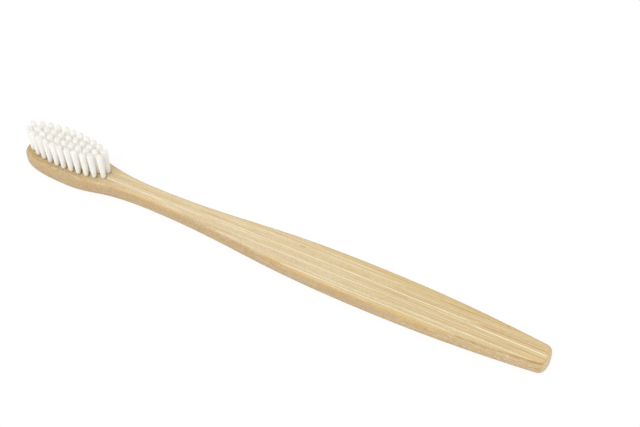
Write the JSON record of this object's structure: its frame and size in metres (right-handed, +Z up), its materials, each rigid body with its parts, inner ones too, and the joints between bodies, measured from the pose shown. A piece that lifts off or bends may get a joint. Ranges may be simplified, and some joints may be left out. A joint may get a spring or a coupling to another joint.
{
  "type": "manual toothbrush",
  "caption": "Flat toothbrush with a rounded head, slim neck and swelling grip, and an oval field of upright bristle tufts set in drilled holes.",
  "frame": {"origin": "middle of the flat back, half way along the handle", "axes": "+X along the handle from the head to the end of the grip, +Y across the handle, +Z up from the flat back to the bristle tips"},
  "size_m": [0.19, 0.0152, 0.0157],
  "materials": {
    "bamboo": "sanded satin, unvarnished",
    "bristle": "off-white nylon filament",
    "anchor_metal": "bright rolled strip"
  },
  "bodies": {
    "root": {"handle": "bamboo", "tuft_1_1": "bristle", "tuft_1_2": "bristle", "tuft_2_1": "bristle", "tuft_2_2": "bristle", "tuft_2_3": "bristle", "tuft_3_1": "bristle", "tuft_3_2": "bristle", "tuft_3_3": "bristle", "tuft_3_4": "bristle", "tuft_4_1": "bristle", "tuft_4_2": "bristle", "tuft_4_3": "bristle", "tuft_4_4": "bristle", "tuft_5_1": "bristle", "tuft_5_2": "bristle", "tuft_5_3": "bristle", "tuft_5_4": "bristle", "tuft_6_1": "bristle", "tuft_6_2": "bristle", "tuft_6_3": "bristle", "tuft_6_4": "bristle", "tuft_7_1": "bristle", "tuft_7_2": "bristle", "tuft_7_3": "bristle", "tuft_7_4": "bristle", "tuft_8_1": "bristle", "tuft_8_2": "bristle", "tuft_8_3": "bristle", "tuft_8_4": "bristle", "tuft_9_1": "bristle", "tuft_9_2": "bristle", "tuft_9_3": "bristle", "tuft_9_4": "bristle", "tuft_10_1": "bristle", "tuft_10_2": "bristle", "tuft_10_3": "bristle", "tuft_11_1": "bristle", "tuft_11_2": "bristle", "anchors": "anchor_metal"}
  },
  "joints": []
}
